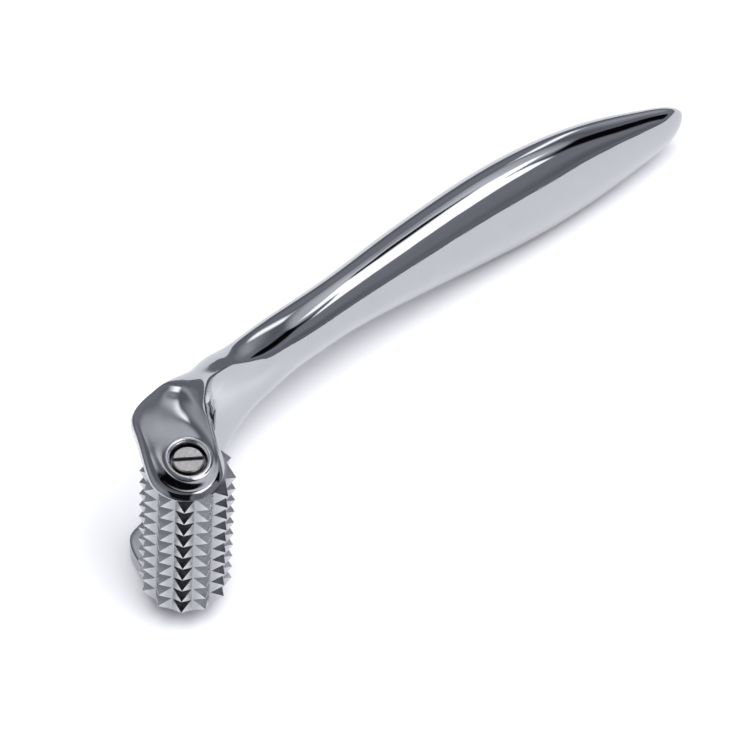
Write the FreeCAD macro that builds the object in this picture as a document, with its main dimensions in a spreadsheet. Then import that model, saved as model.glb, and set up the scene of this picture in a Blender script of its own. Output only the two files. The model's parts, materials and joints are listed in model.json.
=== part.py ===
import FreeCAD, Part
import math
import os
import Sketcher

# Hand-held derma roller: a cast chrome handle that forks into two ears, and between the
# ears a spiked roller that turns on a fixed axle held by a slotted screw at each end.
#
# Tool frame, in which everything is drawn: the roller's axis is Z, X runs from that axis
# towards the handle's tip, and Y points to the handle's rounded back. The row's own frame
# has the tool lying on its side on a surface, so one common placement tips the tool over.

Vector = FreeCAD.Vector

DIMENSIONS = {
    # roller
    "tip_radius": (10.0, "spike tips from the roller's axis"),
    "core_inradius": (7.95, "flat of the twelve-sided core from the axis"),
    "column_count": (12, "spike columns round the roller"),
    "column_phase": (10.6, "first column from the tool's length, at rest"),
    "row_count": (10, "spikes along each column"),
    "row_pitch": (4.0, "from one spike to the next along the axis"),
    "spike_base": (4.0, "side of a spike's square base"),
    "spike_blunt": (0.12, "side of the worn flat on a spike's tip"),
    "bore_radius": (4.5, "bore through the roller"),
    "recess_radius": (6.0, "recess for a bush's flange"),
    "recess_depth": (1.0, "recess for a bush's flange"),
    # bushes, washers and axle
    "axle_radius": (3.0, "fixed axle"),
    "running_gap": (0.05, "radial clearance of a bush on the axle"),
    "bush_length": (9.0, "sleeve and flange together"),
    "flange_radius": (5.9, "bush flange"),
    "flange_proud": (0.1, "flange beyond the roller's end face"),
    "washer_radius": (5.5, "thrust washer"),
    "washer_thickness": (0.5, "thrust washer"),
    "thread_radius": (2.0, "tapped holes in the axle's ends"),
    "thread_depth": (9.0, "tapped holes in the axle's ends"),
    # screws
    "ear_hole_radius": (2.1, "screw hole through an ear"),
    "screw_radius": (1.98, "screw shank"),
    "screw_reach": (6.5, "screw shank inside the axle"),
    "head_radius": (3.3, "slotted head"),
    "head_height": (1.2, "slotted head"),
    "head_chamfer": (0.25, "edge of the slotted head"),
    "slot_width": (1.0, "driver slot"),
    "slot_depth": (0.7, "driver slot"),
    "slot_angle": (-40.0, "driver slot from the tool's length"),
    "lock_radius": (3.6, "lock washer under a head"),
    "lock_thickness": (0.4, "lock washer under a head"),
    # ears
    "ear_inner": (20.7, "inner face of an ear from the middle plane"),
    "ear_crown": (24.8, "highest point of an ear's domed outer face"),
    "ear_dome": (70.0, "radius of the domed outer face"),
    "dome_x": (4.0, "highest point of the domed face"),
    "dome_y": (10.0, "highest point of the domed face"),
    "ear_round": (0.7, "rounding of an ear's rim"),
    "seat_level": (21.7, "floor of the counterbore from the middle plane"),
    "counterbore_radius": (3.9, "counterbore for the screw head"),
    "lip_level": (24.0, "mouth of the counterbore from the middle plane"),
    "lip_chamfer": (0.6, "mouth of the counterbore"),
    "foot_x": (-1.2, "round end of the upper ear"),
    "foot_y": (-0.3, "round end of the upper ear"),
    "foot_radius": (8.1, "round end of the upper ear"),
    "small_foot_x": (-0.9, "round end of the lower ear"),
    "small_foot_y": (0.7, "round end of the lower ear"),
    "small_foot_radius": (6.1, "round end of the lower ear"),
    "shoulder_x": (2.6, "round upper corner of an ear"),
    "shoulder_y": (11.7, "round upper corner of an ear"),
    "shoulder_radius": (5.3, "round upper corner of an ear"),
    "root_x": (9.5, "where an ear runs into its arm"),
    "root_y": (12.0, "where an ear runs into its arm"),
    "root_radius": (5.6, "where an ear runs into its arm"),
    # rest on a surface
    "tip_angle": (5.385, "how far the tool tips, handle end down"),
    "roll_angle": (-2.36, "how far the tool rolls about its length"),
    "rest_x": (0.0, "roller axis in the row's frame"),
    "rest_y": (0.0, "roller axis in the row's frame"),
    "rest_z": (0.0, "roller axis in the row's frame"),
}

# Oval sections of the grip, from the neck to the tip: place along X, centre in Y,
# half thickness in Y and half width in Z.
GRIP_SECTIONS = [
    (36.0, 19.7, 5.4, 7.8),
    (48.0, 19.7, 5.7, 7.7),
    (62.0, 18.8, 5.8, 8.1),
    (78.0, 17.3, 6.5, 9.9),
    (94.0, 15.3, 7.3, 12.0),
    (110.0, 12.9, 7.9, 13.6),
    (125.0, 10.0, 7.7, 13.7),
    (138.0, 7.3, 6.6, 12.0),
    (149.0, 4.6, 5.0, 8.9),
    (157.0, 2.8, 3.4, 6.2),
    (160.8, 2.0, 2.2, 4.0),
    (162.3, 1.8, 1.2, 2.2),
]
GRIP_TIP = (163.0, 1.7)

# Rounded sections of one fork arm, from inside the neck to the ear: place along X,
# belly and back edges in Y, inner and outer faces in Z.
ARM_SECTIONS = [
    (44.0, 14.8, 25.0, -5.0, 7.5),
    (36.0, 14.4, 24.3, -5.0, 10.2),
    (30.0, 14.3, 22.5, -4.0, 13.3),
    (26.0, 14.1, 21.1, -2.0, 15.7),
    (22.5, 13.5, 20.0, 5.0, 17.7),
    (18.5, 11.5, 18.8, 12.8, 20.3),
    (13.0, 7.0, 17.6, 19.5, 23.2),
    (9.0, 5.0, 15.5, 20.9, 23.2),
]

# Power of the sine and cosine in an arm's section: 1 is an ellipse, less is squarer.
ARM_SQUARENESS = 0.85
ARM_POINTS = 16

# How far a cutting or trimmed body runs past the face it cuts, and the mesh step used to
# find the tool's outer box.
OVERRUN = 1.0
BOX_STEP = 0.05

REST = (
    "placement(vector(Sheet.rest_x; Sheet.rest_y; Sheet.rest_z); "
    "rotation(vector(0; 1; 0); Sheet.tip_angle)) * "
    "placement(vector(0; 0; 0); rotation(vector(1; 0; 0); Sheet.roll_angle))"
)
TURNED = " * placement(vector(0; 0; 0); rotation(vector(1; 0; 0); 180))"
PHASED = " * placement(vector(0; 0; 0); rotation(vector(0; 0; 1); Sheet.column_phase))"

doc = FreeCAD.newDocument("derma_roller")
sheet = doc.addObject("Spreadsheet::Sheet", "Sheet")


def fill_sheet():
    """Write every driving dimension into the sheet, one row each."""
    rows = [(alias, value, note) for alias, (value, note) in DIMENSIONS.items()]
    for number, (x, y, thick, wide) in enumerate(GRIP_SECTIONS, 1):
        rows.append((f"grip_x_{number}", x, "grip section along X"))
        rows.append((f"grip_y_{number}", y, "grip section's centre"))
        rows.append((f"grip_thick_{number}", thick, "half thickness in Y"))
        rows.append((f"grip_wide_{number}", wide, "half width in Z"))
    for number, (x, belly, back, inner, outer) in enumerate(ARM_SECTIONS, 1):
        rows.append((f"arm_x_{number}", x, "arm section along X"))
        rows.append((f"arm_belly_{number}", belly, "belly edge in Y"))
        rows.append((f"arm_back_{number}", back, "back edge in Y"))
        rows.append((f"arm_inner_{number}", inner, "inner face in Z"))
        rows.append((f"arm_outer_{number}", outer, "outer face in Z"))
    rows.append(("grip_end_x", GRIP_TIP[0], "tip of the grip"))
    rows.append(("grip_end_y", GRIP_TIP[1], "tip of the grip"))
    for row, (alias, value, note) in enumerate(rows, 1):
        sheet.set(f"A{row}", alias)
        sheet.set(f"B{row}", str(value))
        sheet.set(f"C{row}", note)
        sheet.setAlias(f"B{row}", alias)
    doc.recompute()


def size(alias):
    return float(sheet.get(alias))


def bind(item, **expressions):
    """Tie properties to the sheet. Double underscores stand for dots."""
    for name, expression in expressions.items():
        item.setExpression(name.replace("__", "."), expression)


def body(label, placement=REST):
    item = doc.addObject("PartDesign::Body", label)
    item.Label = label
    if placement is not None:
        item.setExpression("Placement", placement)
    return item


def sketch(owner, name, plane="XY_Plane", offset=None):
    """A sketch on one of its body's origin planes, lifted along the plane's normal."""
    item = owner.newObject("Sketcher::SketchObject", name)
    support = next(f for f in owner.Origin.OriginFeatures if f.Role == plane)
    item.AttachmentSupport = [(support, "")]
    item.MapMode = "FlatFace"
    if offset is not None:
        bind(item, AttachmentOffset__Base__z=offset)
    return item


def circle(item, radius, name="radius"):
    """Add a circle about the sketch's origin, with its radius tied to the sheet."""
    index = item.addGeometry(Part.Circle(Vector(0, 0, 0), Vector(0, 0, 1), 1.0), False)
    item.addConstraint(Sketcher.Constraint("Coincident", index, 3, -1, 1))
    constraint = item.addConstraint(Sketcher.Constraint("Radius", index, 1.0))
    item.renameConstraint(constraint, name)
    item.setExpression(f"Constraints.{name}", radius)


def polygon(item, points):
    """Add a closed chain of straight lines."""
    for start, end in zip(points, points[1:] + points[:1]):
        item.addGeometry(Part.LineSegment(Vector(*start, 0), Vector(*end, 0)), False)


def rectangle(item, half_x, half_y, centre_y=0.0):
    """Add a rectangle that is centred in X."""
    low, high = centre_y - half_y, centre_y + half_y
    polygon(item, [(-half_x, low), (half_x, low), (half_x, high), (-half_x, high)])


def pad(owner, profile, name, length, **extra):
    item = owner.newObject("PartDesign::Pad", name)
    item.Profile = profile
    bind(item, Length=length)
    for key, value in extra.items():
        setattr(item, key, value)
    owner.Tip = item
    return item


def pocket(owner, profile, name, length, reverse):
    item = owner.newObject("PartDesign::Pocket", name)
    item.Profile = profile
    bind(item, Length=length)
    item.Reversed = reverse
    owner.Tip = item
    return item


def ring(owner, name, outer, inner, base, length):
    """A plain ring about Z: pad of two circles, from base upwards."""
    profile = sketch(owner, f"{name}_profile", offset=base)
    circle(profile, outer, "outer")
    circle(profile, inner, "inner")
    return pad(owner, profile, name, length)


def bore(owner, name, radius, base, length):
    """A round pocket about Z, cut upwards from base."""
    profile = sketch(owner, f"{name}_profile", offset=base)
    circle(profile, radius)
    return pocket(owner, profile, name, length, True)


def make_roller():
    """Twelve-sided core with ten blunt pyramids on each flat, bored and recessed."""
    item = body("spiked_roller", REST + PHASED)
    sides = int(size("column_count"))
    corner = size("core_inradius") / math.cos(math.pi / sides)
    angles = [2 * math.pi * (k + 0.5) / sides for k in range(sides)]
    core = sketch(item, "core_profile")
    polygon(core, [(corner * math.cos(a), corner * math.sin(a)) for a in angles])
    pad(item, core, "core", "Sheet.row_count * Sheet.row_pitch", SideType="Symmetric")

    half = size("spike_base") / 2
    first = -(size("row_count") - 1) * size("row_pitch") / 2
    root = sketch(item, "spike_root", "YZ_Plane", "Sheet.core_inradius")
    rectangle(root, half, half, first)
    blunt = size("spike_blunt") / 2
    tip = sketch(item, "spike_tip", "YZ_Plane", "Sheet.tip_radius")
    rectangle(tip, blunt, blunt, first)
    spike = item.newObject("PartDesign::AdditiveLoft", "spike")
    spike.Profile = root
    spike.Sections = [tip]
    spike.Ruled = True
    item.Tip = spike
    doc.recompute()

    grid = item.newObject("PartDesign::MultiTransform", "spikes")
    grid.Originals = [spike]
    along = item.newObject("PartDesign::LinearPattern", "rows")
    around = item.newObject("PartDesign::PolarPattern", "columns")
    axis = next(f for f in item.Origin.OriginFeatures if f.Role == "Z_Axis")
    along.Direction = (axis, [""])
    around.Axis = (axis, [""])
    bind(along, Length="(Sheet.row_count - 1) * Sheet.row_pitch", Occurrences="Sheet.row_count")
    bind(around, Occurrences="Sheet.column_count")
    around.Angle = 360
    grid.Transformations = [along, around]
    item.Tip = grid
    doc.recompute()

    bore(item, "bore", "Sheet.bore_radius", "-Sheet.row_count * Sheet.row_pitch / 2",
         "Sheet.row_count * Sheet.row_pitch")
    bore(item, "lower_recess", "Sheet.recess_radius", "-Sheet.row_count * Sheet.row_pitch / 2",
         "Sheet.recess_depth")
    bore(item, "upper_recess", "Sheet.recess_radius",
         "Sheet.row_count * Sheet.row_pitch / 2 - Sheet.recess_depth", "Sheet.recess_depth")
    return item


def make_bush(label, placement):
    """Flanged bush: its sleeve fills the roller's bore, its flange the end recess."""
    item = body(label, placement)
    end = "(Sheet.row_count * Sheet.row_pitch / 2 + Sheet.flange_proud)"
    ring(item, "sleeve", "Sheet.bore_radius", "Sheet.axle_radius + Sheet.running_gap",
         f"{end} - Sheet.bush_length", "Sheet.bush_length")
    thickness = "(Sheet.recess_depth + Sheet.flange_proud)"
    ring(item, "flange", "Sheet.flange_radius", "Sheet.axle_radius + Sheet.running_gap",
         f"{end} - {thickness}", thickness)
    return item


def make_washer(label, placement):
    """Thrust washer between a bush's flange and the ear's inner face."""
    item = body(label, placement)
    ring(item, "washer", "Sheet.washer_radius", "Sheet.axle_radius + Sheet.running_gap",
         "Sheet.ear_inner - Sheet.washer_thickness", "Sheet.washer_thickness")
    return item


def make_axle():
    """Axle clamped between the ears, with a tapped hole in each end."""
    item = body("axle")
    profile = sketch(item, "rod_profile")
    circle(profile, "Sheet.axle_radius")
    pad(item, profile, "rod", "2 * Sheet.ear_inner", SideType="Symmetric")
    bore(item, "lower_thread", "Sheet.thread_radius", "-Sheet.ear_inner", "Sheet.thread_depth")
    bore(item, "upper_thread", "Sheet.thread_radius", "Sheet.ear_inner - Sheet.thread_depth",
         "Sheet.thread_depth")
    return item


def make_lock_washer(label, placement):
    item = body(label, placement)
    ring(item, "washer", "Sheet.lock_radius", "Sheet.ear_hole_radius", "Sheet.seat_level",
         "Sheet.lock_thickness")
    return item


def make_screw(label, placement):
    """Slotted screw: head in the counterbore, shank through the ear into the axle."""
    item = body(label, placement)
    under_head = "(Sheet.seat_level + Sheet.lock_thickness)"
    head = sketch(item, "head_profile", offset=under_head)
    circle(head, "Sheet.head_radius")
    pad(item, head, "head", "Sheet.head_height")
    start = "(Sheet.ear_inner - Sheet.screw_reach)"
    shank = sketch(item, "shank_profile", offset=start)
    circle(shank, "Sheet.screw_radius")
    pad(item, shank, "shank", f"{under_head} - {start}")
    doc.recompute()

    top = size("seat_level") + size("lock_thickness") + size("head_height")
    solid = item.Tip
    rim = [f"Edge{n}" for n, edge in enumerate(solid.Shape.Edges, 1)
           if abs(edge.BoundBox.ZMin - top) < 0.01 and abs(edge.BoundBox.ZMax - top) < 0.01]
    chamfer = item.newObject("PartDesign::Chamfer", "head_edge")
    chamfer.Base = (solid, rim)
    bind(chamfer, Size="Sheet.head_chamfer")
    item.Tip = chamfer

    slot = sketch(item, "slot_profile", offset=f"{under_head} + Sheet.head_height - Sheet.slot_depth")
    rectangle(slot, size("head_radius") + OVERRUN, size("slot_width") / 2)
    slot.setExpression("AttachmentOffset.Rotation.Angle", "Sheet.slot_angle")
    pocket(item, slot, "slot", f"Sheet.slot_depth + {OVERRUN}", True)
    return item


def oval(name, x, y, z, half_y, half_z):
    """An ellipse across X. Its longer axis runs along Z when it is wider than thick."""
    item = doc.addObject("Part::Ellipse", name)
    wide = size_of(half_z) > size_of(half_y)
    across = Vector(0, 0, 1) if wide else Vector(0, 1, 0)
    item.Placement.Rotation = FreeCAD.Rotation(across, Vector(), Vector(1, 0, 0), "XZY")
    bind(item, Placement__Base__x=x, Placement__Base__y=y, Placement__Base__z=z,
         MajorRadius=half_z if wide else half_y, MinorRadius=half_y if wide else half_z)
    return item


def size_of(expression):
    """Value of an expression over the sheet."""
    return float(sheet.evalExpression(expression.replace("Sheet.", "")))


def loft(name, sections):
    item = doc.addObject("Part::Loft", name)
    item.Sections = sections
    item.Solid = True
    return item


def make_grip():
    """The grip: ovals that widen into a flat paddle and close at the tip."""
    sections = [
        oval(f"grip_oval_{n}", f"Sheet.grip_x_{n}", f"Sheet.grip_y_{n}", "0",
             f"Sheet.grip_thick_{n}", f"Sheet.grip_wide_{n}")
        for n in range(1, len(GRIP_SECTIONS) + 1)
    ]
    point = doc.addObject("Part::Vertex", "grip_end")
    bind(point, X="Sheet.grip_end_x", Y="Sheet.grip_end_y")
    return loft("grip", sections + [point])


def rounded_section(name, x, belly, back, inner, outer):
    """A closed curve across X, between an oval and a box, that starts at the back edge."""
    centre = Vector(x, (belly + back) / 2, (inner + outer) / 2)
    half_y = (back - belly) / 2
    half_z = (outer - inner) / 2
    points = []
    for step in range(ARM_POINTS):
        angle = 2 * math.pi * step / ARM_POINTS
        y = math.copysign(abs(math.cos(angle)) ** ARM_SQUARENESS, math.cos(angle))
        z = math.copysign(abs(math.sin(angle)) ** ARM_SQUARENESS, math.sin(angle))
        points.append(centre + Vector(0, y * half_y, z * half_z))
    curve = Part.BSplineCurve()
    curve.interpolate(Points=points, PeriodicFlag=True)
    item = doc.addObject("Part::Feature", name)
    item.Shape = Part.Wire(curve.toShape())
    return item


def make_arm():
    """The upper arm: a round bar that leaves the neck, swings out and flattens to the ear."""
    sections = []
    for n in range(1, len(ARM_SECTIONS) + 1):
        limits = [size(f"arm_{edge}_{n}") for edge in ("x", "belly", "back", "inner", "outer")]
        sections.append(rounded_section(f"arm_section_{n}", *limits))
    return loft("upper_arm", sections)


def belt(item, circles):
    """Outline of a belt round circles given anticlockwise: tangent lines and arcs."""
    spans = list(zip(circles, circles[1:] + circles[:1]))
    contacts = []
    for (start, start_radius), (end, end_radius) in spans:
        heading = math.atan2(end.y - start.y, end.x - start.x)
        turn = math.acos((start_radius - end_radius) / start.distanceToPoint(end))
        contacts.append(heading - turn)
    for (centre, radius), arrive, leave in zip(circles, contacts[-1:] + contacts[:-1], contacts):
        while leave < arrive:
            leave += 2 * math.pi
        round_end = Part.Circle(centre, Vector(0, 0, 1), radius)
        item.addGeometry(Part.ArcOfCircle(round_end, arrive, leave), False)
    for ((start, start_radius), (end, end_radius)), normal in zip(spans, contacts):
        out = Vector(math.cos(normal), math.sin(normal), 0)
        tangent = Part.LineSegment(start + out * start_radius, end + out * end_radius)
        item.addGeometry(tangent, False)


def make_ear(name, foot):
    """An ear above the middle plane: a plate with an egg-shaped outline and a domed face."""
    item = body(f"{name}_plate", None)
    profile = sketch(item, f"{name}_profile", offset="Sheet.ear_inner")
    corners = []
    for corner in (foot, "root", "shoulder"):
        centre = Vector(size(f"{corner}_x"), size(f"{corner}_y"), 0)
        corners.append((centre, size(f"{corner}_radius")))
    belt(profile, corners)
    pad(item, profile, f"{name}_slab", f"Sheet.ear_crown - Sheet.ear_inner + {OVERRUN}")
    dome = doc.addObject("Part::Sphere", f"{name}_dome")
    bind(dome, Radius="Sheet.ear_dome", Placement__Base__x="Sheet.dome_x",
         Placement__Base__y="Sheet.dome_y", Placement__Base__z="Sheet.ear_crown - Sheet.ear_dome")
    domed = doc.addObject("Part::MultiCommon", f"{name}_domed")
    domed.Shapes = [item, dome]
    doc.recompute()
    ear = doc.addObject("Part::Fillet", name)
    ear.Base = domed
    radius = size("ear_round")
    above = size("ear_inner") + radius
    rim = [n for n, edge in enumerate(domed.Shape.Edges, 1) if edge.BoundBox.ZMin > above]
    ear.Edges = [(n, radius, radius) for n in rim]
    return ear


def mirrored(source, name):
    """The same piece on the other side of the middle plane."""
    item = doc.addObject("Part::Mirroring", name)
    item.Source = source
    item.Normal = Vector(0, 0, 1)
    return item


def drill(name, radius, bottom, top, top_radius=None):
    """A cylinder to cut on the roller's axis, or a cone when the top's radius differs."""
    kind = "Part::Cylinder" if top_radius is None else "Part::Cone"
    item = doc.addObject(kind, name)
    bind(item, Height=f"{top} - ({bottom})", Placement__Base__z=bottom)
    if top_radius is None:
        bind(item, Radius=radius)
    else:
        bind(item, Radius1=radius, Radius2=top_radius)
    return item


def make_drilling():
    """What is cut from an ear: the screw hole, its counterbore and the chamfered mouth."""
    above = f"Sheet.ear_crown + {OVERRUN}"
    hole = drill("screw_hole", "Sheet.ear_hole_radius", f"Sheet.ear_inner - {OVERRUN}", above)
    counterbore = drill("counterbore", "Sheet.counterbore_radius", "Sheet.seat_level", above)
    mouth = drill("mouth", f"Sheet.counterbore_radius - {OVERRUN}",
                  f"Sheet.lip_level - Sheet.lip_chamfer - {OVERRUN}",
                  f"Sheet.lip_level + {OVERRUN}",
                  f"Sheet.counterbore_radius + Sheet.lip_chamfer + {OVERRUN}")
    drilling = doc.addObject("Part::MultiFuse", "drilling")
    drilling.Shapes = [hole, counterbore, mouth]
    return drilling


def cut(name, base, tool):
    item = doc.addObject("Part::Cut", name)
    item.Base = base
    item.Tool = tool
    return item


def make_handle():
    """Grip, arms and ears in one casting. The lower ear has the smaller foot."""
    arm = make_arm()
    drilling = make_drilling()
    upper_ear = cut("drilled_upper_ear", make_ear("upper_ear", "foot"), drilling)
    lower_ear = cut("drilled_lower_ear", make_ear("lower_ear", "small_foot"), drilling)
    handle = doc.addObject("Part::MultiFuse", "handle_fork")
    handle.Shapes = [
        make_grip(), arm, mirrored(arm, "lower_arm"), upper_ear, mirrored(lower_ear, "lower_ear_below"),
    ]
    handle.setExpression("Placement", REST)
    return handle


def check(pieces):
    """Stop on any failed object and on any piece that isn't one valid solid."""
    failed = [item.Name for item in doc.Objects if {"Invalid", "Error"} & set(item.State)]
    if failed:
        raise RuntimeError(f"failed objects: {failed}")
    for piece in pieces:
        shape = piece.Shape
        if shape.isNull() or not shape.isValid() or len(shape.Solids) != 1:
            raise RuntimeError(f"{piece.Label} isn't one valid solid")


def settle(pieces):
    """Put the middle of the base of the whole tool's box at the row's origin."""
    points = [point for piece in pieces for point in piece.Shape.tessellate(BOX_STEP)[0]]
    for alias, value in (
        ("rest_x", -(min(p.x for p in points) + max(p.x for p in points)) / 2),
        ("rest_y", -(min(p.y for p in points) + max(p.y for p in points)) / 2),
        ("rest_z", -min(p.z for p in points)),
    ):
        sheet.set(sheet.getCellFromAlias(alias), f"{value:.4f}")
    doc.recompute()


fill_sheet()
pieces = [
    make_handle(),
    make_roller(),
    make_axle(),
    make_bush("upper_bush", REST),
    make_bush("lower_bush", REST + TURNED),
    make_washer("upper_washer", REST),
    make_washer("lower_washer", REST + TURNED),
    make_lock_washer("upper_lock_washer", REST),
    make_lock_washer("lower_lock_washer", REST + TURNED),
    make_screw("upper_screw", REST),
    make_screw("lower_screw", REST + TURNED),
]
doc.recompute()
check(pieces)
settle(pieces)
check(pieces)

os.makedirs("parts", exist_ok=True)
for piece in pieces:
    piece.Shape.exportStep(f"parts/{piece.Label}.step")
    print(f"{piece.Label}: {piece.Shape.Volume:.1f} mm3")
print("rest", [round(size(name), 3) for name in ("rest_x", "rest_y", "rest_z")])
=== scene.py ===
import json
import math

import bmesh
import bpy
from mathutils import Matrix, Vector


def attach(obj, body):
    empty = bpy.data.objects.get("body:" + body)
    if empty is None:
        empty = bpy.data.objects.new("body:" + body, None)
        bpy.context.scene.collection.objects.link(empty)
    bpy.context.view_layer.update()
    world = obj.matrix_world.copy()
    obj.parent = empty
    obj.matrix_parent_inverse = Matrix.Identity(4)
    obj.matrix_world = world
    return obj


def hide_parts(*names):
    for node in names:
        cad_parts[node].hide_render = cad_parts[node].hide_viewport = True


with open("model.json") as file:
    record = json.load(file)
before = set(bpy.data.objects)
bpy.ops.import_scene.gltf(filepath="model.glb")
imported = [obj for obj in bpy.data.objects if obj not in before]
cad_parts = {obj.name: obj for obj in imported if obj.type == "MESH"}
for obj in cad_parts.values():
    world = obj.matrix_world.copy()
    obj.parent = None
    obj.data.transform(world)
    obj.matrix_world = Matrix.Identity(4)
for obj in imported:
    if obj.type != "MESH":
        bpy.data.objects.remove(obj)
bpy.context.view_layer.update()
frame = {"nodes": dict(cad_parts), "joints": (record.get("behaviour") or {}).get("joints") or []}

# Derma roller. The frame's own solids stay for the roller, axle, bushes, washers and screws.
# The polished casting is rebuilt as one smooth subdivision surface, because chrome shows
# every facet. It is drawn in the tool frame, in millimetres: the roller's axis is Z, X runs
# to the handle's tip and Y to the handle's rounded back.

MM = 0.001

SPIN = frame["joints"][0]
TIP_ANGLE = math.radians(5.385)
ROLL_ANGLE = math.radians(-2.36)
POSE = (Matrix.Translation(Vector(SPIN["pos_m"])) @ Matrix.Rotation(TIP_ANGLE, 4, "Y")
        @ Matrix.Rotation(ROLL_ANGLE, 4, "X"))
TOOL = POSE @ Matrix.Scale(MM, 4)


# ---------------------------------------------------------------- sizes of the casting

LOOP = 16                       # corners round the grip and round each arm
BACK, BELLY = 0, 8              # corners of a loop on the middle plane
FIT_ROUNDS = 14                 # rounds of fitting the net so its smooth surface meets the points
SMOOTH_LEVELS = 3

# Sections of the grip: along X, centre in Y, half thickness in Y, half width in Z, and a
# power that is 1 for an ellipse and less for a squarer outline.
GRIP = [
    (48.0, 19.8, 5.65, 8.0, 0.85),
    (56.0, 19.3, 5.75, 7.8, 0.92),
    (67.0, 18.4, 5.9, 8.5, 1.0),
    (80.0, 17.1, 6.6, 10.1, 1.0),
    (94.0, 15.3, 7.3, 12.0, 1.0),
    (108.0, 13.2, 7.85, 13.45, 1.0),
    (121.0, 10.8, 7.85, 13.85, 1.0),
    (133.0, 8.35, 7.1, 12.9, 1.0),
    (143.0, 6.1, 6.0, 10.7, 1.0),
    (150.5, 4.15, 4.7, 8.55, 1.0),
    (156.8, 2.6, 3.45, 6.4, 1.0),
    (160.8, 1.9, 2.1, 4.0, 1.0),
]
GRIP_END = (162.8, 1.7)         # X and Y of the tip

# The neck: the same, with Y of the belly's middle, which is slightly hollow. The first
# section leans, so its corners on the middle plane have places along X of their own.
NECK = [
    (34.8, 19.3, 4.95, 11.0, 0.74, 15.0),
    (41.0, 19.7, 5.35, 9.1, 0.78, 14.8),
]
NECK_BACK_X = 34.4
NECK_BELLY_X = 34.2

# The saddle between the arms, from the belly to the back, on the middle plane.
SADDLE = [
    (25.4, 15.2), (24.4, 15.6), (23.8, 16.5), (23.6, 17.6), (23.8, 18.7), (24.5, 19.7),
    (25.8, 20.6),
]

# Slanting sections of an arm. Its outer and its inner side each have a place along X, the
# belly's and the back's Y there, and a distance from the middle plane.
ARM = [
    ((29.6, 14.3, 23.0, 13.8), (21.9, 13.5, 19.8, 6.2)),
    ((25.2, 13.9, 21.4, 16.4), (19.8, 12.3, 19.2, 10.7)),
    ((21.0, 12.9, 19.5, 18.9), (17.8, 11.0, 18.7, 13.8)),
    ((17.6, 10.9, 18.5, 21.0), (16.0, 9.8, 18.1, 16.3)),
]
ARM_POWER = 0.82

# An ear's outline wraps three circles, each a centre and a radius. The lower ear, at -1, has
# the smaller foot. The arm joins along the mouth, whose corners run from the back to the belly.
FEET = {1: ((-1.2, -0.3), 8.1), -1: ((-0.9, 0.7), 6.1)}
SHOULDERS = [((2.6, 11.7), 5.3), ((9.5, 12.0), 5.6)]
EAR_MIDDLE = (1.5, 4.5)
EAR_COLUMNS = 20
ARM_MOUTH = [(10.4, 16.6), (11.8, 14.8), (12.6, 12.8), (12.9, 10.6), (12.6, 8.3)]
MOUTH_COLUMNS = len(ARM_MOUTH)
MOUTH_BEARING = 45              # degrees from X to the mouth, seen from the axle
OUTLINE_STEPS = 400             # steps for measuring the length of the outline
EDGE_STEPS = 360                # directions in half a turn that an outline is tested in
ROUNDING = 1e-9

# The outer face is a dome: X and Y of its top, its height there and its radius. The arm's
# round flank starts at a ridge and falls away from it across the face. The ridge has a point
# on it, the direction across it and the Y where it ends. The fall grows as a square up to
# RIDGE_BEND from the ridge, and evenly after that.
EAR_DOME = (4.0, 10.0, 24.63, 70.0)
RIDGE = ((4.4, 0.5), (0.952, -0.307), 14.4)
RIDGE_FALL = 0.066
RIDGE_BEND = 3.0

# Heights and radii of an ear's flats and holes.
EAR_INNER = 20.7
SEAT = 21.7
HOLE = 2.1
COUNTERBORE = 3.9
HUB = 4.2

# The machined lip round the counterbore: radii, and heights above the face.
LIP = [(COUNTERBORE, -0.75), (4.02, -0.2), (4.3, 0.08), (4.7, 0.12)]
LIP_EDGE = 5.15
FACE_STEPS = (0.0, 0.3, 0.7)    # rows from the lip's edge, at 0, to the face's edge, at 1
HUB_STEP = 0.45                 # the row between the hub and the edge of the inner face

# The rounded rim: how far the two faces' edges lie inside the outline, and the rows of the
# wall between them, each with an inset and a place from the top, at 0, to the bottom, at 1.
FACE_INSET = 0.85
FACE_DROP = 0.08
INNER_INSET = 0.45
WALL_ROWS = [(0.06, 0.0), (0.0, 0.45), (0.06, 1.0)]
WALL_TOP = 0.75                 # below the dome
WALL_BOTTOM = 0.45              # above the inner face


# ---------------------------------------------------------------- the casting's net

class Net:
    """Corners and four-sided faces of a coarse cage."""

    def __init__(self):
        self.points = []
        self.faces = []

    def add(self, x, y, z):
        self.points.append(Vector((x, y, z)))
        return len(self.points) - 1

    def ring(self, loop_a, loop_b, closed=True):
        """Faces between two rows of corners."""
        count = len(loop_a)
        for k in range(count if closed else count - 1):
            n = (k + 1) % count
            self.faces.append((loop_a[k], loop_a[n], loop_b[n], loop_b[k]))

    def rings(self, rows, closed=True):
        """Faces between each row of corners and the next."""
        for loop_a, loop_b in zip(rows, rows[1:]):
            self.ring(loop_a, loop_b, closed)


def oval_point(k, centre_y, half_y, half_z, power):
    """Y and Z of corner k of a loop round the middle plane."""
    angle = 2 * math.pi * k / LOOP
    y = math.copysign(abs(math.cos(angle)) ** power, math.cos(angle))
    z = math.copysign(abs(math.sin(angle)) ** power, math.sin(angle))
    return centre_y + y * half_y, z * half_z


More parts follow.
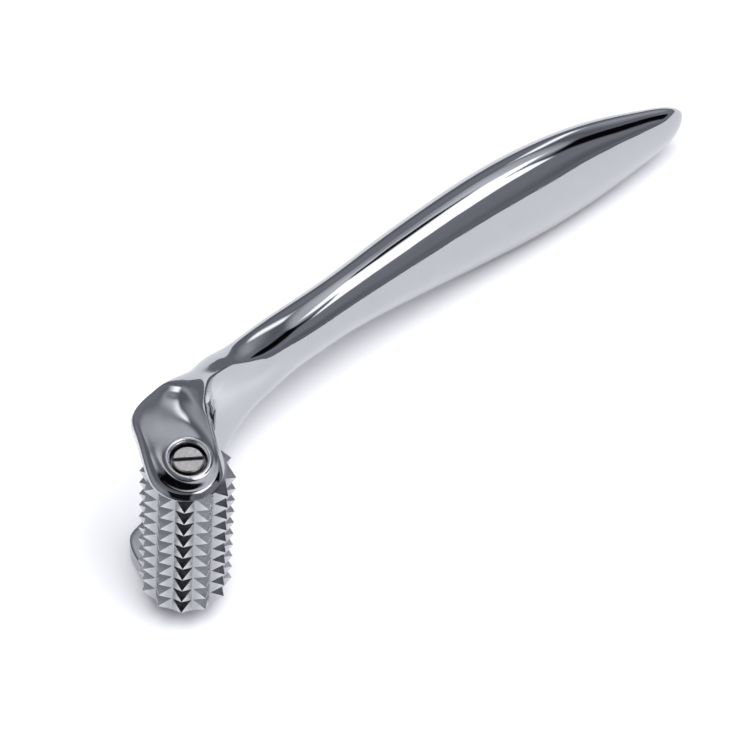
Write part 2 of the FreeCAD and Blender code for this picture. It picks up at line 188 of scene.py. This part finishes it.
def cap_tip(net, loop, x, y, half_y, half_z):
    """Close the last oval with a small grid of faces, bulged to the tip."""
    side = LOOP // 4
    first = side // 2
    grid = [[None] * (side + 1) for _ in range(side + 1)]
    for step in range(side):
        grid[0][step] = loop[(first + step) % LOOP]
        grid[step][side] = loop[(first + side + step) % LOOP]
        grid[side][side - step] = loop[(first + 2 * side + step) % LOOP]
        grid[side - step][0] = loop[(first + 3 * side + step) % LOOP]
    edge_x = net.points[loop[0]].x
    for i in range(1, side):
        for j in range(1, side):
            across = [net.points[grid[i][0]], net.points[grid[i][side]]]
            along = [net.points[grid[0][j]], net.points[grid[side][j]]]
            u, v = j / side, i / side
            spot = (across[0].lerp(across[1], u) + along[0].lerp(along[1], v)) / 2
            offset = Vector(((spot.y - y) / half_y, spot.z / half_z))
            bulge = max(0.0, 1 - offset.length_squared) ** 0.5
            grid[i][j] = net.add(edge_x + (x - edge_x) * bulge, spot.y, spot.z)
    net.rings(grid, closed=False)


def ear_edge(direction, circles, inset=0.0):
    """Where a ray from the ear's middle crosses its outline, moved inwards by inset."""
    middle = EAR_MIDDLE
    best = math.inf
    for step in range(2 * EDGE_STEPS):
        angle = math.pi * step / EDGE_STEPS
        normal = (math.cos(angle), math.sin(angle))
        slope = direction[0] * normal[0] + direction[1] * normal[1]
        if slope <= ROUNDING:
            continue
        reach = max(c[0] * normal[0] + c[1] * normal[1] + r for c, r in circles) - inset
        best = min(best, (reach - middle[0] * normal[0] - middle[1] * normal[1]) / slope)
    return middle[0] + direction[0] * best, middle[1] + direction[1] * best


def outline_directions(circles):
    """Directions from the ear's middle to even steps along the free part of its outline,
    clockwise from the mouth's belly side to its back side."""
    (back_x, back_y), (belly_x, belly_y) = ARM_MOUTH[0], ARM_MOUTH[-1]
    middle_x, middle_y = EAR_MIDDLE
    start = math.atan2(belly_y - middle_y, belly_x - middle_x)
    stop = math.atan2(back_y - middle_y, back_x - middle_x) - 2 * math.pi
    dense = []
    for step in range(OUTLINE_STEPS + 1):
        angle = start + (stop - start) * step / OUTLINE_STEPS
        dense.append(ear_edge((math.cos(angle), math.sin(angle)), circles))
    lengths = [0.0]
    for a, b in zip(dense, dense[1:]):
        lengths.append(lengths[-1] + math.dist(a, b))
    free = EAR_COLUMNS - (MOUTH_COLUMNS - 1)
    directions = []
    for j in range(free + 1):
        goal = lengths[-1] * j / free
        k = next(i for i, length in enumerate(lengths) if length >= goal - ROUNDING)
        dx, dy = dense[k][0] - middle_x, dense[k][1] - middle_y
        size = math.hypot(dx, dy)
        directions.append((dx / size, dy / size))
    return directions


def dome(x, y):
    """Height of an ear's outer face."""
    top_x, top_y, crown, radius = EAR_DOME
    (ridge_x, ridge_y), across, ridge_end = RIDGE
    past = (x - ridge_x) * across[0] + (y - ridge_y) * across[1]
    past = max(0.0, min(past, ridge_end - y))
    if past < RIDGE_BEND:
        fall = RIDGE_FALL * past ** 2
    else:
        fall = RIDGE_FALL * RIDGE_BEND * (2 * past - RIDGE_BEND)
    above_centre = math.sqrt(radius ** 2 - (x - top_x) ** 2 - (y - top_y) ** 2)
    return crown - radius + above_centre - fall


def circle_row(radius, z):
    """A row of corners round the axle, whose first columns face the mouth."""
    points = []
    for j in range(EAR_COLUMNS):
        angle = math.radians(MOUTH_BEARING + (MOUTH_COLUMNS // 2 - j) * 360 / EAR_COLUMNS)
        points.append((radius * math.cos(angle), radius * math.sin(angle), z))
    return points


def lip_row(radius, rise):
    """A row round the counterbore's mouth, measured from the face."""
    return [(x, y, dome(x, y) + rise) for x, y, _ in circle_row(radius, 0)]


def face_row(lip, edge, t):
    """A row on the outer face, part of the way from the lip to the face's edge."""
    points = []
    for a, b in zip(lip, edge):
        x, y = a[0] + (b[0] - a[0]) * t, a[1] + (b[1] - a[1]) * t
        points.append((x, y, dome(x, y)))
    return points


def flat_row(hub, edge, t):
    """A row on the inner face, part of the way from the hub to the face's edge."""
    return [tuple(p + (q - p) * t for p, q in zip(a, b)) for a, b in zip(hub, edge)]


def build_ear(net, side):
    """One ear. Returns the loop of corners that its arm joins."""
    circles = [FEET[side], *SHOULDERS]
    directions = outline_directions(circles)

    # The first columns are the mouth's, from the back to the belly, and the rest follow the
    # outline. A row that is open at the mouth ends with column EAR_COLUMNS, beside column 0.
    def outline(inset, j):
        """Where column j meets the outline, moved inwards by inset."""
        return ear_edge(directions[j - (MOUTH_COLUMNS - 1)], circles, inset)

    def edge_row(inset):
        """X and Y along the edge of a face."""
        free = [outline(inset, j) for j in range(MOUTH_COLUMNS, EAR_COLUMNS)]
        return [*ARM_MOUTH, *free]

    def wall_row(inset, down):
        """A row of the rim's wall, which is open across the mouth."""
        points = []
        for j in range(MOUTH_COLUMNS - 1, EAR_COLUMNS + 1):
            x, y = outline(inset, j)
            upper = dome(x, y) - WALL_TOP
            points.append((x, y, upper + (EAR_INNER + WALL_BOTTOM - upper) * down))
        return points

    def index(rows):
        """Put the rows into the net, on this ear's side, and number their corners."""
        return [[net.add(x, y, z * side) for x, y, z in points] for points in rows]

    face_edge = [(x, y, dome(x, y) - FACE_DROP) for x, y in edge_row(FACE_INSET)]
    inner_edge = [(x, y, EAR_INNER) for x, y in edge_row(INNER_INSET)]
    lip_edge = circle_row(LIP_EDGE, 0)
    hub = circle_row(HUB, EAR_INNER)
    outer = index([
        circle_row(HOLE, EAR_INNER), circle_row(HOLE, SEAT), circle_row(COUNTERBORE, SEAT),
        *(lip_row(radius, rise) for radius, rise in LIP),
        *(face_row(lip_edge, face_edge, t) for t in FACE_STEPS), face_edge,
    ])
    inner = index([inner_edge, flat_row(hub, inner_edge, HUB_STEP), hub])
    walls = index([wall_row(inset, down) for inset, down in WALL_ROWS])
    net.rings(outer)
    net.rings(inner)
    net.ring(inner[-1], outer[0])
    above, below = outer[-1], inner[0]
    open_above = above[MOUTH_COLUMNS - 1:] + above[:1]
    open_below = below[MOUTH_COLUMNS - 1:] + below[:1]
    net.rings([open_above, *walls, open_below], closed=False)

    at_back = [wall[-1] for wall in walls]
    at_belly = [wall[0] for wall in walls]
    return ([at_back[1], at_back[0]] + above[:MOUTH_COLUMNS] + at_belly
            + below[:MOUTH_COLUMNS][::-1] + [at_back[2]])


def build_arm(net, side, root):
    """One arm, from its root at the neck and saddle to its ear."""
    previous = root
    for outside, inside in ARM:
        ids = []
        for k in range(LOOP):
            up, out = oval_point(k, 0, 1, 1, ARM_POWER)
            x, belly, back, z = (b + (a - b) * (1 + out) / 2 for a, b in zip(outside, inside))
            y = (belly + back) / 2 + up * (back - belly) / 2
            ids.append(net.add(x, y, z * side))
        net.ring(previous, ids)
        previous = ids
    net.ring(previous, build_ear(net, side))


def build_casting():
    """The net of the grip, neck, arms and ears, with every corner on the wanted surface."""
    net = Net()
    grip = []
    for x, y, half_y, half_z, power in GRIP:
        grip.append([net.add(x, *oval_point(k, y, half_y, half_z, power)) for k in range(LOOP)])
    neck = []
    for x, y, half_y, half_z, power, belly in NECK:
        ids = []
        for k in range(LOOP):
            py, pz = oval_point(k, y, half_y, half_z, power)
            ids.append(net.add(x, belly if k == BELLY else py, pz))
        neck.append(ids)
    root = neck[0]
    net.points[root[BACK]].x = NECK_BACK_X
    net.points[root[BELLY]].x = NECK_BELLY_X
    net.rings(neck + grip)
    _, _, half_y, half_z, _ = GRIP[-1]
    cap_tip(net, grip[-1], *GRIP_END, half_y, half_z)

    saddle = [net.add(x, y, 0) for x, y in SADDLE]
    build_arm(net, 1, root[BACK:BELLY + 1] + saddle)
    build_arm(net, -1, [root[BACK]] + root[BELLY + 1:][::-1] + [root[BELLY]] + saddle)
    return net


def fit_to_limit(mesh):
    """Move the cage's corners until its smooth surface passes through where they started."""
    work = bmesh.new()
    work.from_mesh(mesh)
    work.verts.ensure_lookup_table()
    goals = [v.co.copy() for v in work.verts]
    around = []
    for v in work.verts:
        edges = [e.other_vert(v).index for e in v.link_edges]
        near = {v.index, *edges}
        opposite = []
        for face in v.link_faces:
            opposite.append(next(w.index for w in face.verts if w.index not in near))
        around.append((edges, opposite))
    spots = [goal.copy() for goal in goals]
    for _ in range(FIT_ROUNDS):
        moved = []
        for i, (edges, opposite) in enumerate(around):
            n = len(edges)
            smooth = (spots[i] * n * n + sum((spots[e] for e in edges), Vector()) * 4
                      + sum((spots[o] for o in opposite), Vector())) / (n * (n + 5))
            moved.append(spots[i] + (goals[i] - smooth))
        spots = moved
    for v, spot in zip(work.verts, spots):
        v.co = spot
    bmesh.ops.recalc_face_normals(work, faces=work.faces)
    work.to_mesh(mesh)
    work.free()


def make_casting():
    """The finished casting, as a mesh with the smoothing applied."""
    net = build_casting()
    mesh = bpy.data.meshes.new("cast_handle")
    mesh.from_pydata(net.points, [], net.faces)
    fit_to_limit(mesh)
    for face in mesh.polygons:
        face.use_smooth = True
    mesh.transform(TOOL)
    piece = bpy.data.objects.new("cast_handle", mesh)
    bpy.context.scene.collection.objects.link(piece)
    smooth = piece.modifiers.new("smooth", "SUBSURF")
    smooth.levels = SMOOTH_LEVELS
    depsgraph = bpy.context.evaluated_depsgraph_get()
    piece.data = bpy.data.meshes.new_from_object(piece.evaluated_get(depsgraph))
    piece.modifiers.clear()
    return piece


# ---------------------------------------------------------------- node trees

class Wiring:
    """Adds nodes to one tree and links them."""

    def __init__(self, tree):
        self.nodes, self.links = tree.nodes, tree.links

    def put(self, socket, value):
        """Give a socket a number, a colour or another node's output."""
        if isinstance(value, (int, float)):
            socket.default_value = value
        elif isinstance(value, tuple):
            socket.default_value = (*value, 1)
        else:
            self.links.new(value, socket)

    def math(self, kind, a, b=None):
        node = self.nodes.new("ShaderNodeMath")
        node.operation = kind
        self.put(node.inputs[0], a)
        if b is not None:
            self.put(node.inputs[1], b)
        return node.outputs[0]

    def vector_math(self, kind, source, vector):
        """The node for an operation on a vector output and a fixed vector."""
        node = self.nodes.new("ShaderNodeVectorMath")
        node.operation = kind
        self.links.new(source, node.inputs[0])
        node.inputs[1].default_value = vector
        return node

    def cloud_noise(self, vector, scale, detail):
        node = self.nodes.new("ShaderNodeTexNoise")
        self.links.new(vector, node.inputs["Vector"])
        node.inputs["Scale"].default_value = scale
        node.inputs["Detail"].default_value = detail
        return node.outputs["Fac"]

    def remap(self, value, low, high, start=0.0, end=1.0):
        """A smooth step from start, where value is low, to end, where it is high."""
        node = self.nodes.new("ShaderNodeMapRange")
        node.interpolation_type = "SMOOTHSTEP"
        self.put(node.inputs["Value"], value)
        limits = {"From Min": low, "From Max": high, "To Min": start, "To Max": end}
        for name, number in limits.items():
            node.inputs[name].default_value = number
        return node.outputs["Result"]

    def mix(self, a, b, amount):
        """Colour a where amount is 0 and colour b where it is 1."""
        node = self.nodes.new("ShaderNodeMix")
        node.data_type = "RGBA"
        self.put(node.inputs["Factor"], amount)
        self.put(node.inputs["A"], a)
        self.put(node.inputs["B"], b)
        return node.outputs["Result"]


# ---------------------------------------------------------------- materials

AO_SAMPLES = 8


class Metal(Wiring):
    """A metal whose colour, gloss and relief are worked out in the tool frame, in millimetres."""

    def __init__(self, name):
        self.material = bpy.data.materials.new(name)
        self.material.use_nodes = True
        super().__init__(self.material.node_tree)
        self.shader = self.nodes["Principled BSDF"]
        self.shader.inputs["Metallic"].default_value = 1.0
        coordinates = self.nodes.new("ShaderNodeTexCoord")
        mapping = self.nodes.new("ShaderNodeMapping")
        mapping.vector_type = "TEXTURE"
        mapping.inputs["Location"].default_value = SPIN["pos_m"]
        mapping.inputs["Rotation"].default_value = (ROLL_ANGLE, TIP_ANGLE, 0)
        mapping.inputs["Scale"].default_value = (MM, MM, MM)
        self.links.new(coordinates.outputs["Object"], mapping.inputs["Vector"])
        self.place = mapping.outputs["Vector"]
        parts = self.nodes.new("ShaderNodeSeparateXYZ")
        self.links.new(self.place, parts.inputs[0])
        x, y, _ = parts.outputs
        self.reach = self.math("SQRT", self.math("ADD", self.math("MULTIPLY", x, x),
                                                 self.math("MULTIPLY", y, y)))
        self.relief = None

    def noise(self, per_mm, detail, stretch=(1, 1, 1)):
        """Noise with about per_mm patches in a millimetre, times stretch along each axis."""
        scaled = self.vector_math("MULTIPLY", self.place, stretch)
        return self.cloud_noise(scaled.outputs[0], per_mm, detail)

    def open_air(self, distance, low, high):
        """1 in the open and 0 deep in a crevice, for crevices of a width in millimetres."""
        node = self.nodes.new("ShaderNodeAmbientOcclusion")
        node.samples = AO_SAMPLES
        node.inputs["Distance"].default_value = distance * MM
        return self.remap(node.outputs["AO"], low, high)

    def bump(self, height, depth):
        """Add relief: height 1 stands depth millimetres above height 0."""
        node = self.nodes.new("ShaderNodeBump")
        self.put(node.inputs["Height"], height)
        node.inputs["Distance"].default_value = depth * MM
        node.inputs["Strength"].default_value = 1.0
        if self.relief is not None:
            self.links.new(self.relief, node.inputs["Normal"])
        self.relief = node.outputs["Normal"]

    def finish(self, colour, roughness):
        self.links.new(colour, self.shader.inputs["Base Color"])
        self.links.new(roughness, self.shader.inputs["Roughness"])
        self.links.new(self.relief, self.shader.inputs["Normal"])
        return self.material


def make_chrome():
    """Hand-polished plating: faint waves, haze from handling, hairlines and painted shade in
    corners.
    """
    dark_plate, light_plate = (0.40, 0.41, 0.43), (0.44, 0.445, 0.46)
    machined_plate = (0.78, 0.78, 0.8)
    # Painted shade: the colour that corners and crevices are darkened towards.
    crevice_shade = (0.16, 0.155, 0.15)
    lip_outside, lip_inside = 4.85, 4.7
    metal = Metal("chrome")
    metal.bump(metal.noise(0.11, 1.0), depth=0.07)
    metal.bump(metal.noise(0.9, 2.0), depth=0.0012)
    hairs = metal.remap(metal.noise(0.5, 3.0, stretch=(0.25, 5.0, 5.0)), 0.62, 0.7)
    metal.bump(hairs, depth=0.0005)
    haze = metal.remap(metal.noise(0.16, 4.0), 0.42, 0.72)
    roughness = metal.math("ADD", metal.remap(haze, 0.0, 1.0, start=0.035, end=0.085),
                           metal.math("MULTIPLY", hairs, 0.05))
    tint = metal.mix(dark_plate, light_plate, metal.noise(0.22, 3.0))
    machined = metal.remap(metal.reach, lip_outside, lip_inside)
    tint = metal.mix(tint, machined_plate, machined)
    roughness = metal.math("ADD", roughness, metal.math("MULTIPLY", machined, 0.22))
    # Painted shade: the open_air mask darkens the colour in corners and crevices.
    return metal.finish(metal.mix(crevice_shade, tint, metal.open_air(1.6, 0.2, 0.6)), roughness)


def make_roller_chrome():
    """Plated teeth: rubbed bright and smooth at their tips and rougher down in the grooves, with
    painted shade darkening them towards the grooves and in the crevices.
    """
    dull_shaded_plate, rubbed_plate = (0.38, 0.385, 0.405), (0.52, 0.525, 0.54)
    stain = (0.45, 0.44, 0.425)
    # Painted shade: the colour that the crevices are darkened towards.
    crevice_shade = (0.09, 0.088, 0.086)
    groove, tip = 8.4, 9.9
    metal = Metal("roller_chrome")
    metal.bump(metal.noise(1.6, 3.0), depth=0.012)
    metal.bump(metal.noise(7.0, 2.0), depth=0.0015)
    # Real wear and painted shade: towards the grooves the teeth get rougher, which is wear, and
    # darker, which is painted shade.
    wear_and_groove_shade = metal.remap(metal.reach, groove, tip)
    patches = metal.noise(0.5, 4.0)
    tint = metal.mix(dull_shaded_plate, rubbed_plate, wear_and_groove_shade)
    tint = metal.mix(tint, stain, metal.remap(patches, 0.55, 0.8, end=0.6))
    # Painted shade in the crevices between the teeth.
    unshaded = metal.open_air(0.7, 0.35, 0.8)
    roughness = metal.math("ADD", metal.remap(wear_and_groove_shade, 0.0, 1.0, start=0.26, end=0.15),
                           metal.remap(patches, 0.3, 0.8, end=0.08))
    return metal.finish(metal.mix(crevice_shade, tint, unshaded), roughness)


def make_nickel():
    """Turned screw heads: fine rings, a few scuffs and painted shade in the slot."""
    bright_nickel, grey_nickel = (0.74, 0.73, 0.71), (0.62, 0.61, 0.59)
    scuffed = (0.82, 0.81, 0.79)
    crevice_shade = (0.05, 0.048, 0.045)
    radians_per_mm = 42.0
    metal = Metal("nickel")
    rings = metal.math("SINE", metal.math("MULTIPLY", metal.reach, radians_per_mm))
    metal.bump(rings, depth=0.0012)
    metal.bump(metal.noise(2.5, 3.0), depth=0.006)
    scuffs = metal.remap(metal.noise(0.8, 4.0, stretch=(1.0, 4.0, 1.0)), 0.6, 0.72)
    tint = metal.mix(bright_nickel, grey_nickel, metal.noise(1.1, 4.0))
    tint = metal.mix(tint, scuffed, scuffs)
    # Painted shade in the slot and the other crevices.
    unshaded = metal.open_air(0.9, 0.5, 0.92)
    roughness = metal.remap(metal.noise(1.7, 3.0), 0.3, 0.7, start=0.26, end=0.38)
    return metal.finish(metal.mix(crevice_shade, tint, unshaded), roughness)


def make_steel():
    """Ground steel with rings round the axis and thin oil stains."""
    stained_steel, clean_steel = (0.4, 0.405, 0.42), (0.5, 0.5, 0.505)
    # Painted shade: the colour that the crevices are darkened towards.
    crevice_shade = (0.12, 0.11, 0.1)
    metal = Metal("steel")
    metal.bump(metal.noise(3.0, 3.0, stretch=(0.4, 0.4, 4.0)), depth=0.004)
    tint = metal.mix(stained_steel, clean_steel, metal.noise(0.9, 4.0))
    # Painted shade in the crevices.
    tint = metal.mix(crevice_shade, tint, metal.open_air(1.0, 0.2, 0.8))
    return metal.finish(tint, metal.remap(metal.noise(2.0, 3.0), 0.3, 0.7, start=0.22, end=0.4))


def make_bronze():
    """Sintered bronze: a grainy, slightly stained face."""
    clean_bronze, stained_bronze = (0.52, 0.34, 0.17), (0.36, 0.24, 0.13)
    # Painted shade: the colour that the crevices are darkened towards.
    crevice_shade = (0.09, 0.06, 0.04)
    metal = Metal("bronze")
    metal.bump(metal.noise(6.0, 3.0), depth=0.01)
    tint = metal.mix(clean_bronze, stained_bronze, metal.noise(1.4, 5.0))
    # Painted shade in the crevices.
    tint = metal.mix(crevice_shade, tint, metal.open_air(0.8, 0.2, 0.8))
    return metal.finish(tint, metal.remap(metal.noise(3.0, 3.0), 0.3, 0.7, start=0.35, end=0.55))


PIECES_OF = [
    (make_roller_chrome, ["spiked_roller"]),
    (make_nickel, ["upper_screw", "lower_screw"]),
    (make_steel, ["axle", "upper_washer", "lower_washer",
                  "upper_lock_washer", "lower_lock_washer"]),
    (make_bronze, ["upper_bush", "lower_bush"]),
]
for make_material, pieces in PIECES_OF:
    material = make_material()
    for piece in pieces:
        for place in frame["nodes"][piece].material_slots:
            place.material = material

casting = make_casting()
casting.data.materials.append(make_chrome())
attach(casting, "handle")
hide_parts("handle_fork")


# ---------------------------------------------------------------- stage, in metres

FLOOR_MIN, FLOOR_MAX = (-3.0, -3.0), (3.0, 3.0)
FLOOR_COLOUR = (0.93, 0.935, 0.95)
FLOOR_ROUGHNESS = 0.9

# Painted reflection: a glowing dark sheet, seen only in polished metal, surrounds this pale area.
SHEET_HOLE_MIN, SHEET_HOLE_MAX = (-0.25, -0.14), (0.24, 0.2)
SHEET_HEIGHT = 0.001
SHEET_COLOUR = (0.26, 0.265, 0.3)

# The surroundings: a cloudy grey, with panels over it that are soft rectangles. Each has a
# colour, an azimuth and an elevation in degrees, a half width, a half height and a softness.
GREY_DARK, GREY_LIGHT = (0.21, 0.215, 0.25), (0.33, 0.335, 0.38)
CLOUD_SCALE, CLOUD_DETAIL = 1.7, 0.5
CLOUD_LOW, CLOUD_HIGH = 0.35, 0.65
LEAST_DEPTH, SEEN_DEPTH = 0.001, 0.01   # how far ahead a direction has to lie to see a panel
PANELS = [
    ((0.6, 0.61, 0.65), 15, 20, 0.3, 0.18, 0.2),
    ((0.5, 0.51, 0.55), 150, 25, 0.6, 0.35, 0.25),
    ((0.8, 0.81, 0.87), 8, 58, 0.5, 0.12, 0.1),
    ((1.0, 1.0, 1.06), 0, 67, 0.34, 0.1, 0.05),
    ((2.6, 2.6, 2.7), -70, 51, 0.23, 0.18, 0.03),
    ((2.6, 2.6, 2.7), -46, 65, 0.26, 0.14, 0.04),
    ((0.004, 0.004, 0.006), -36, 26, 0.18, 0.36, 0.05),
    ((0.01, 0.01, 0.012), -140, 44, 0.4, 0.34, 0.06),
    ((2.4, 2.4, 2.5), 36, 30, 0.07, 0.22, 0.06),
    ((0.004, 0.004, 0.006), 18, 73, 0.14, 0.065, 0.02),
]

LAMP_SIZE = 1.2
LAMP_WATTS = 22.0
LAMP_PLACE = (-0.1, -0.2, 1.4)

# The camera, in the tool frame.
LENS, SENSOR_WIDTH = 192.0, 36.0
NEAREST = 0.01
LOOK_AT = (0.05777, -0.00043, -0.00033)
CAMERA_DISTANCE = 0.8688
CAMERA_FORWARD = (0.477850, 0.387082, -0.788560)
CAMERA_RIGHT = (0.682083, -0.729174, 0.055397)


def box_corners(low, high, z):
    return [(low[0], low[1], z), (high[0], low[1], z), (high[0], high[1], z), (low[0], high[1], z)]


def stage_mesh(name, corners, faces, paint):
    """A mesh for the stage, and the node tree of its new material."""
    mesh = bpy.data.meshes.new(name)
    mesh.from_pydata(corners, [], faces)
    piece = bpy.data.objects.new(name, mesh)
    bpy.context.scene.collection.objects.link(piece)
    material = bpy.data.materials.new(paint)
    material.use_nodes = True
    mesh.materials.append(material)
    return piece, material.node_tree


def make_floor():
    corners = box_corners(FLOOR_MIN, FLOOR_MAX, 0)
    floor, tree = stage_mesh("floor", corners, [(0, 1, 2, 3)], "pale_floor")
    shader = tree.nodes["Principled BSDF"]
    shader.inputs["Base Color"].default_value = (*FLOOR_COLOUR, 1)
    shader.inputs["Roughness"].default_value = FLOOR_ROUGHNESS


def make_painted_reflection_sheet():
    """A glowing dark sheet that only polished metal sees, a painted reflection: the pale floor
    seems to end a hand's width away.
    """
    corners = (box_corners(SHEET_HOLE_MIN, SHEET_HOLE_MAX, SHEET_HEIGHT)
               + box_corners(FLOOR_MIN, FLOOR_MAX, SHEET_HEIGHT))
    faces = [(k, (k + 1) % 4, (k + 1) % 4 + 4, k + 4) for k in range(4)]
    edge, tree = stage_mesh("painted_reflection_sheet", corners, faces, "painted_reflection_glow")
    # The sheet glows with its own dark colour, though it is no lamp: a painted reflection.
    glow = tree.nodes.new("ShaderNodeEmission")
    glow.inputs["Color"].default_value = (*SHEET_COLOUR, 1)
    tree.links.new(glow.outputs[0], tree.nodes["Material Output"].inputs["Surface"])
    for kind in ("camera", "diffuse", "shadow", "transmission", "volume_scatter"):
        setattr(edge, f"visible_{kind}", False)


class Surroundings(Wiring):
    """Clouds and soft panels, painted by direction."""

    def __init__(self, tree):
        super().__init__(tree)
        self.direction = self.nodes.new("ShaderNodeTexCoord").outputs["Generated"]

    def clouds(self):
        """Mask of a few broad, blurred patches."""
        return self.remap(self.cloud_noise(self.direction, CLOUD_SCALE, CLOUD_DETAIL),
                          CLOUD_LOW, CLOUD_HIGH)

    def along(self, vector):
        return self.vector_math("DOT_PRODUCT", self.direction, vector).outputs["Value"]

    def panel(self, azimuth, elevation, half_width, half_height, soft):
        """Mask of a rectangular panel seen in a direction. Sizes are tangents of angles."""
        a, e = math.radians(azimuth), math.radians(elevation)
        ahead = Vector((math.cos(a) * math.cos(e), math.sin(a) * math.cos(e), math.sin(e)))
        side = Vector((-math.sin(a), math.cos(a), 0))
        up = ahead.cross(side)
        depth = self.along(ahead)
        safe = self.math("MAXIMUM", depth, LEAST_DEPTH)
        u = self.math("ABSOLUTE", self.math("DIVIDE", self.along(side), safe))
        v = self.math("ABSOLUTE", self.math("DIVIDE", self.along(up), safe))
        mask = self.math("MULTIPLY", self.remap(u, half_width + soft, half_width - soft),
                         self.remap(v, half_height + soft, half_height - soft))
        return self.math("MULTIPLY", mask, self.math("GREATER_THAN", depth, SEEN_DEPTH))


def make_world():
    world = bpy.data.worlds.new("studio")
    bpy.context.scene.world = world
    world.use_nodes = True
    paint = Surroundings(world.node_tree)
    colour = paint.mix(GREY_DARK, GREY_LIGHT, paint.clouds())
    for panel_colour, *shape in PANELS:
        colour = paint.mix(colour, panel_colour, paint.panel(*shape))
    paint.links.new(colour, paint.nodes["Background"].inputs["Color"])


def make_light():
    """One broad soft light on the floor, which the polished metal doesn't mirror."""
    data = bpy.data.lights.new("softbox", "AREA")
    data.shape = "DISK"
    data.size = LAMP_SIZE
    data.energy = LAMP_WATTS
    light = bpy.data.objects.new("softbox", data)
    light.location = LAMP_PLACE
    light.rotation_euler = (-light.location).to_track_quat("-Z", "Y").to_euler()
    light.visible_glossy = False
    bpy.context.scene.collection.objects.link(light)


def make_camera():
    data = bpy.data.cameras.new("camera")
    data.lens = LENS
    data.sensor_width = SENSOR_WIDTH
    data.clip_start = NEAREST
    camera = bpy.data.objects.new("camera", data)
    bpy.context.scene.collection.objects.link(camera)
    bpy.context.scene.camera = camera
    forward, right = Vector(CAMERA_FORWARD), Vector(CAMERA_RIGHT)
    up = right.cross(forward)
    turn = Matrix((right, up, -forward)).transposed().to_4x4()
    spot = Vector(LOOK_AT) - forward * CAMERA_DISTANCE
    camera.matrix_world = POSE @ Matrix.Translation(spot) @ turn


make_floor()
make_painted_reflection_sheet()
make_world()
make_light()
make_camera()
bpy.context.scene.view_settings.view_transform = "Standard"
